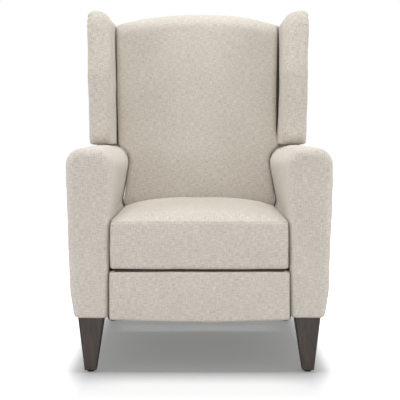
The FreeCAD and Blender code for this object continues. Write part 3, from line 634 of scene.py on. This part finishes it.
def wing_ring(side, x, inset, drop):
    """The wing's side outline at x; drop lowers its top towards the inner edge."""
    rear_y, middle_z, half_height = 190.0, 868.0, 231.0
    low_z, top_z = 615.5, 1100.5
    outline = [(-15.0, 635.0, 30.0), (204.0, 631.5, 12.0), (236.0, 617.0, 12.0),
               (back_y(low_z, 188.4), low_z, 24.0), (back_y(top_z, 188.4), top_z - drop, 54.0),
               (118.0, top_z - drop, 92.0), (32.0, middle_z, 240.0)]
    corners = []
    for i, (y, z, r) in enumerate(outline):
        shrink_z = inset * (0.4 if i > 3 else 0.15) / half_height
        corners.append((rear_y + (y - rear_y) * (1 - inset / rear_y),
                        middle_z + (z - middle_z) * (1 - shrink_z), max(3.0, r * (1 - inset / rear_y))))
    path = corner_path(corners, 196)
    outward = ease(x, 300.0, 370.0)
    lean = np.array([flare(z) + outward * (5.0 * ease(z, 940.0, 1060.0) - 3.0 * ease(900.0 - z, 0.0, 250.0))
                     for z in path[:, 1]])
    behind = np.array([ease(y - back_y(z, 0.0), 40.0, 130.0) for y, z in path])
    lean -= 5.5 * (1 - ease(x, 290.0, 312.0)) * behind
    if side > 0:
        lean -= (RIGHT_PULL - 8.5 * ease(x, 285.0, 360.0)) * (1 - behind)
    return np.stack([side * (x + lean), path[:, 0], path[:, 1]], axis=1)


def wing_tucks(side):
    """Small folds where the cover is eased over the top outer corner."""
    folds = [(1077.0, 124.0, 7.5, 6.5), (1058.0, 108.0, 8.0, 3.6), (1036.0, 98.0, 9.0, 2.2)]

    def fold(p, n):
        for z, y, width, depth in folds:
            along = (p.z - z) + (abs(p.x) - 372.0) * 0.45
            reach = math.exp(-((p.y - y) / 42.0) ** 2) * ease(abs(p.x), 346.0, 366.0)
            p = p - n * depth * math.exp(-(along / width * 2.0) ** 2) * reach
        return p

    return fold


for side, letter in ((1, "r"), (-1, "l")):
    stations = [(WING_IN + 14.0 * gone, 26.0 * left, 42.0 - 20.0 * gone) for left, gone in quarter(8)]
    stations += [(x, 0.0, drop) for x, drop in ((304.0, 20.0), (309.0, 15.0), (315.0, 10.0), (322.0, 5.8),
                                                (330.0, 2.6), (339.0, 0.8))]
    stations += [(WING_OUT - 20.0 * left, 24.0 * gone, 0.4 + 7.0 * gone) for left, gone in quarter(8)]
    wing = skin("wing_cover_" + letter, [wing_ring(side, x, inset, drop) for x, inset, drop in stations],
                (0.5, 1.0), 9)
    reshape(wing, wing_tucks(side))
    settle(wing, 1.7, 75.0, 31 + 4 * side)
    finish_cover(wing, wing_cloth, "back", "wing_" + letter)


# Outside back: one stretched panel of the cloth over board and wadding, blind-tacked along the top
# and sides. It closes the springs and posts from behind.
def rear_ring(depth, inset):
    """The panel's outline from behind, narrow between the arms and wide between the wings."""
    corners = [(-236.0, 301.0, 6.0), (236.0, 301.0, 6.0), (236.0, 655.5, 6.0), (283.2, 655.5, 10.0),
               (283.2, 1063.0, 26.0), (-283.2, 1063.0, 26.0), (-283.2, 655.5, 10.0), (-236.0, 655.5, 6.0)]
    path = corner_path(corners, 240)
    middle, halves = np.array([0.0, 712.0]), np.array([283.0, 375.0])
    path = middle + (path - middle) * (1 - inset / halves)
    return [(spread(x, z), back_y(z, depth), z) for x, z in path]


stations = [(154.4, 3.0), (155.2, 1.0), (157.5, 0.0), (165.0, 0.0), (172.0, 0.0)]
stations += [(188.0 - 14.0 * left, 14.0 * gone) for left, gone in quarter(7)[1:]]
rear = skin("outside_back_cover", [rear_ring(depth, inset) for depth, inset in stations], (0.0, 0.9), 12)
settle(rear, 0.8, 160.0, 44)
finish_cover(rear, back_cloth, "back", "outside_back")


# Stitches and staples: the seat's front seam is sewn with bonded thread, the outside back is closed by
# hand with a curved needle, and the arm covers are stapled up under the rails.
def thread_row_tree():
    """The node tree of a row: short arched wires, evenly spaced along a line and turned to face one way."""
    tree = bpy.data.node_groups.new("row_along_line", "GeometryNodeTree")
    sockets = tree.interface
    sockets.new_socket("Line", in_out="INPUT", socket_type="NodeSocketGeometry")
    for name, kind in (("Spacing", "Float"), ("Length", "Float"), ("Thickness", "Float"), ("Arch", "Float"),
                       ("Slant", "Float"), ("Unevenness", "Float"), ("Facing", "Vector"), ("Seed", "Int"),
                       ("Material", "Material")):
        sockets.new_socket(name, in_out="INPUT", socket_type="NodeSocket" + kind)
    sockets.new_socket("Row", in_out="OUTPUT", socket_type="NodeSocketGeometry")
    given = tree.nodes.new("NodeGroupInput").outputs
    result = tree.nodes.new("NodeGroupOutput")

    def step(kind, settings=(), **plugs):
        node = tree.nodes.new(kind)
        for key, value in dict(settings).items():
            setattr(node, key, value)
        for key, value in plugs.items():
            socket = node.inputs[int(key[1:]) if key[0] == "_" else key.replace("_", " ")]
            if isinstance(value, bpy.types.NodeSocket):
                tree.links.new(value, socket)
            else:
                socket.default_value = value
        return node.outputs

    def times(value, factor):
        return step("ShaderNodeMath", {"operation": "MULTIPLY"}, _0=value, _1=factor)[0]

    half = times(given["Length"], 0.5)
    sunk = times(given["Thickness"], -0.6)
    arch = step("GeometryNodeCurveQuadraticBezier", {}, Resolution=6,
                Start=step("ShaderNodeCombineXYZ", {}, X=times(half, -1.0), Z=sunk)[0],
                Middle=step("ShaderNodeCombineXYZ", {}, Z=given["Arch"])[0],
                End=step("ShaderNodeCombineXYZ", {}, X=half, Z=sunk)[0])[0]
    round_section = step("GeometryNodeCurvePrimitiveCircle", {}, Resolution=6,
                         Radius=times(given["Thickness"], 0.5))[0]
    piece = step("GeometryNodeCurveToMesh", {}, Curve=arch, Profile_Curve=round_section, Fill_Caps=True)[0]

    line = step("GeometryNodeMeshToCurve", {}, Mesh=given["Line"])[0]
    places = step("GeometryNodeCurveToPoints", {"mode": "LENGTH"}, Curve=line, Length=given["Spacing"])
    along = step("FunctionNodeAlignRotationToVector", {"axis": "X"}, Vector=places["Tangent"])[0]
    upright = step("FunctionNodeAlignRotationToVector", {"axis": "Z", "pivot_axis": "X"}, Rotation=along,
                   Vector=given["Facing"])[0]
    row = step("GeometryNodeInstanceOnPoints", {}, Points=places["Points"], Instance=piece,
               Rotation=upright)[0]
    drift = step("FunctionNodeRandomValue", {"data_type": "FLOAT"}, _2=times(given["Unevenness"], -1.0),
                 _3=given["Unevenness"], Seed=given["Seed"])[1]
    turn = step("ShaderNodeMath", {"operation": "ADD"}, _0=drift, _1=given["Slant"])[0]
    row = step("GeometryNodeRotateInstances", {}, Instances=row,
               Rotation=step("ShaderNodeCombineXYZ", {}, Z=turn)[0])[0]
    row = step("GeometryNodeRealizeInstances", {}, Geometry=row)[0]
    row = step("GeometryNodeSetMaterial", {}, Geometry=row, Material=given["Material"])[0]
    tree.links.new(row, result.inputs[0])
    return tree


row_tree = thread_row_tree()


def sewn_row(name, lines, body, material, **sizes):
    """Runs the row tree along polylines and keeps the result as one plain mesh that rides on a body."""
    mesh = bpy.data.meshes.new(name + "_line")
    points = [point for line in lines for point in line]
    edges, start = [], 0
    for line in lines:
        edges += [(start + i, start + i + 1) for i in range(len(line) - 1)]
        start += len(line)
    mesh.from_pydata([[v / 1000.0 for v in point] for point in points], edges, [])
    guide = bpy.data.objects.new(name + "_line", mesh)
    bpy.context.scene.collection.objects.link(guide)
    nodes = guide.modifiers.new("row", "NODES")
    nodes.node_group = row_tree
    sizes["Material"] = material
    for item in row_tree.interface.items_tree:
        if item.name in sizes:
            nodes[item.identifier] = sizes[item.name]
    seen = guide.evaluated_get(bpy.context.evaluated_depsgraph_get())
    made = bpy.data.objects.new(name, bpy.data.meshes.new_from_object(seen))
    bpy.context.scene.collection.objects.link(made)
    guide.modifiers.remove(nodes)
    bpy.data.objects.remove(guide)
    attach(made, body)
    return made


def on_surface(piece, points):
    """Drops points onto a piece, in millimetres."""
    skin_tree = BVHTree.FromObject(piece, bpy.context.evaluated_depsgraph_get())
    return [tuple(skin_tree.find_nearest(Vector(point) / 1000.0)[0] * 1000.0) for point in points]


thread = Finish("bonded_thread", Roughness=0.6, Sheen_Weight=0.3)
twist = thread.speckle((900.0, 900.0, 900.0), 2.0)
thread.coloured(twist, [(0.3, (196, 188, 174)), (0.7, (222, 214, 201))])
thread.rough(twist * 0.2 + 0.5)
thread.relief(twist, 0.00008)

seam = on_surface(seat, [(x, FRONT, SEAM_Z - 0.4) for x in np.linspace(-243.0, 243.0, 90)])
stitches = sewn_row("seat_seam_stitches", [seam], "seat", thread.material,
                    Spacing=0.0034, Length=0.0026, Thickness=0.0005, Arch=0.0004,
                    Slant=0.0, Unevenness=0.06, Facing=(0.0, -1.0, 0.3), Seed=4)

sides = []
for side in (-1, 1):
    heights = np.linspace(676.0, 1050.0, 60)
    edge = [(side * (282.0 + flare(z)), back_y(z, 176.0), z) for z in heights]
    sides.append(on_surface(rear, edge))
top_edge = [(x, back_y(1064.0, 176.0), 1064.0) for x in np.linspace(-262.0, 262.0, 80)]
sides.append(on_surface(rear, top_edge))
ladder = sewn_row("outside_back_stitches", sides, "back", thread.material,
                  Spacing=0.0092, Length=0.0044, Thickness=0.0007, Arch=0.0006,
                  Slant=0.5, Unevenness=0.18, Facing=(0.0, 0.6, 0.8), Seed=9)

rails = []
for side in (-1, 1):
    for x in (272.0, 343.0):
        rails.append([(side * x, y, 150.4) for y in np.linspace(-372.0, 176.0, 12)])
staples = sewn_row("cover_staples", rails, "chair_frame", zinc.material,
                   Spacing=0.028, Length=0.0105, Thickness=0.0012, Arch=0.0010,
                   Slant=0.25, Unevenness=0.35, Facing=(0.0, 0.0, -1.0), Seed=2)


# Floor and light: white paper that runs out of sight under a white surround. Softboxes stand left, right
# and in front and hang above, and one more lamp lights the paper alone, where the soft shadow falls.
# Away from the chair the paper glows for the camera only, so that it stays evenly white.
bpy.ops.mesh.primitive_plane_add(size=14.0, location=(0.0, 0.0, -0.0004))
floor = bpy.context.object
floor.name = "floor"
paper = Finish("paper_floor", Roughness=1.0, Specular_IOR_Level=0.0, Base_Color=(0.38, 0.38, 0.38, 1.0))
seen = paper.add("ShaderNodeLightPath", {}, pick="Is Camera Ray")
x, y, _ = paper.split(paper.place)
smooth = {"interpolation_type": "SMOOTHSTEP"}
aside = paper.add("ShaderNodeMapRange", smooth, x.math("ABSOLUTE"), 0.30, 0.45)
before_or_behind = paper.add("ShaderNodeMapRange", smooth, (y + 0.05).math("ABSOLUTE"), 0.56, 1.0)
# Under the chair the paper still glows 0.2 for the camera, painted light that lifts the shadow there, and the
# glow that grows from 0.30 m aside pales the shadow's sides.
glow = seen * (aside.math("MAXIMUM", before_or_behind) + 0.2)
paper.shader.inputs["Emission Strength"].default_value = 1.0
paper.plug(paper.shader.inputs["Emission Color"],
           paper.add("ShaderNodeCombineColor", {}, glow, glow, glow))
floor.data.materials.append(paper.material)

world = bpy.data.worlds.new("surround")
bpy.context.scene.world = world
world.use_nodes = True


class Surround(Finish):
    """The world's nodes, built the same way as those of a finish."""

    def __init__(self, tree):
        self.tree = tree


surround = Surround(world.node_tree)
camera_ray = surround.add("ShaderNodeLightPath", {}, pick="Is Camera Ray")
glossy_ray = surround.add("ShaderNodeLightPath", {}, pick="Is Glossy Ray")
backdrop = world.node_tree.nodes["Background"]
backdrop.inputs["Color"].default_value = (1.0, 1.0, 1.0, 1.0)
surround.plug(backdrop.inputs["Strength"], camera_ray.math("MAXIMUM", glossy_ray) * 0.5 + 0.5)

# Each softbox is aimed at the seat. The paper's own lamp lights only the paper, and the others leave it out.
lit_by_own_lamp = bpy.data.collections.new("floor_only")
lit_by_own_lamp.objects.link(floor)
all_but_floor = bpy.data.collections.new("all_but_floor")
all_but_floor.objects.link(floor)
all_but_floor.collection_objects[0].light_linking.link_state = "EXCLUDE"
for name, place, size, watts in (("left_softbox", (-3.3, -1.2, 1.7), 2.0, 50.0),
                                 ("right_softbox", (3.3, -1.2, 1.7), 2.0, 50.0),
                                 ("front_softbox", (0.0, -4.6, 1.5), 2.6, 46.0),
                                 ("top_softbox", (0.0, 0.4, 4.4), 2.0, 90.0),
                                 ("floor_softbox", (0.0, 0.0, 4.0), 1.2, 260.0)):
    lamp = bpy.data.lights.new(name, "AREA")
    lamp.shape = "SQUARE"
    lamp.size = size
    lamp.energy = watts
    softbox = bpy.data.objects.new(name, lamp)
    bpy.context.scene.collection.objects.link(softbox)
    softbox.location = place
    aim = Vector((0.0, 0.0, 0.55)) - softbox.location
    softbox.rotation_euler = aim.to_track_quat("-Z", "Y").to_euler()
    own = name == "floor_softbox"
    softbox.light_linking.receiver_collection = lit_by_own_lamp if own else all_but_floor

# The camera stands level in front of the chair, and the shift of its lens keeps upright lines upright.
lens = bpy.data.cameras.new("camera")
lens.sensor_width = 36.0
lens.lens = 79.74
lens.shift_x = 0.00175
lens.shift_y = -0.1875
camera = bpy.data.objects.new("camera", lens)
bpy.context.scene.collection.objects.link(camera)
camera.location = (0.0, -2.935, 0.699)
camera.rotation_euler = (math.pi / 2, 0.0, 0.0)
bpy.context.scene.camera = camera
bpy.context.scene.view_settings.view_transform = "Standard"
